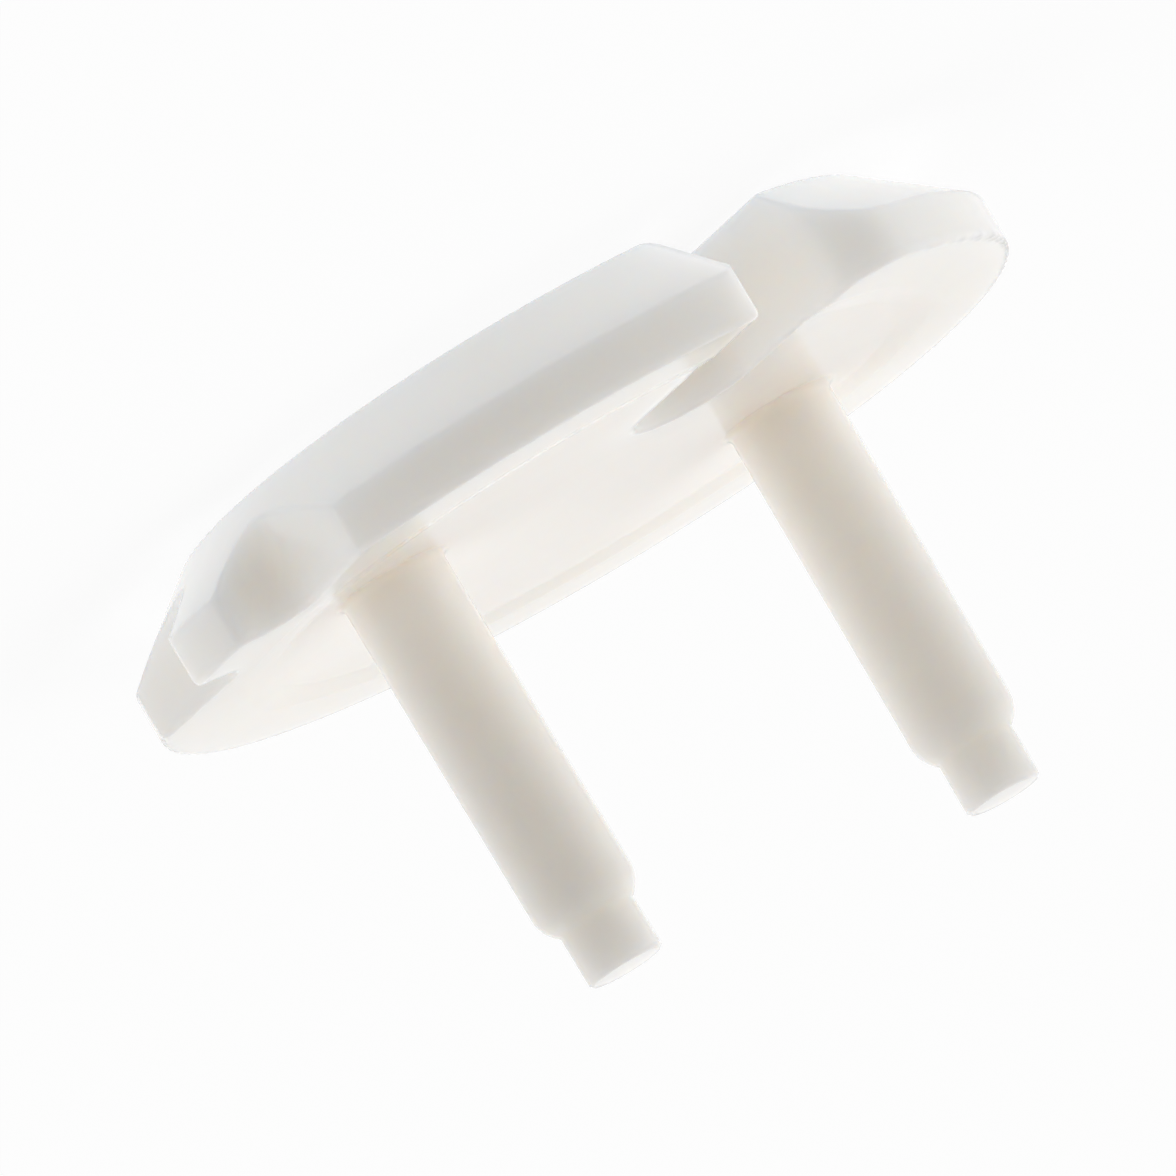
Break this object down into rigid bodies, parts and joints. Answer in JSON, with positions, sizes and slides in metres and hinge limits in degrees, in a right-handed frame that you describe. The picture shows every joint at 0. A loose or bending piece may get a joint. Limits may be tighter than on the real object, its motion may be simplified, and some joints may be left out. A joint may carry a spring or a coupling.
{
  "type": "outlet safety cover",
  "caption": "Round moulded cover with a pair of stepped plug pins that closes a recessed wall socket, with a slot for the earth pin and one keyed end.",
  "frame": {"origin": "centre of the flat front face, on the plate's own centre line", "axes": "+Z along the pins, away from the front face; +X along the line of the pins; +Y towards the earth slot"},
  "size_m": [0.0352, 0.035, 0.0211],
  "materials": {
    "cover": "glossy white, slightly translucent"
  },
  "bodies": {
    "root": {"cover": "cover"}
  },
  "joints": []
}
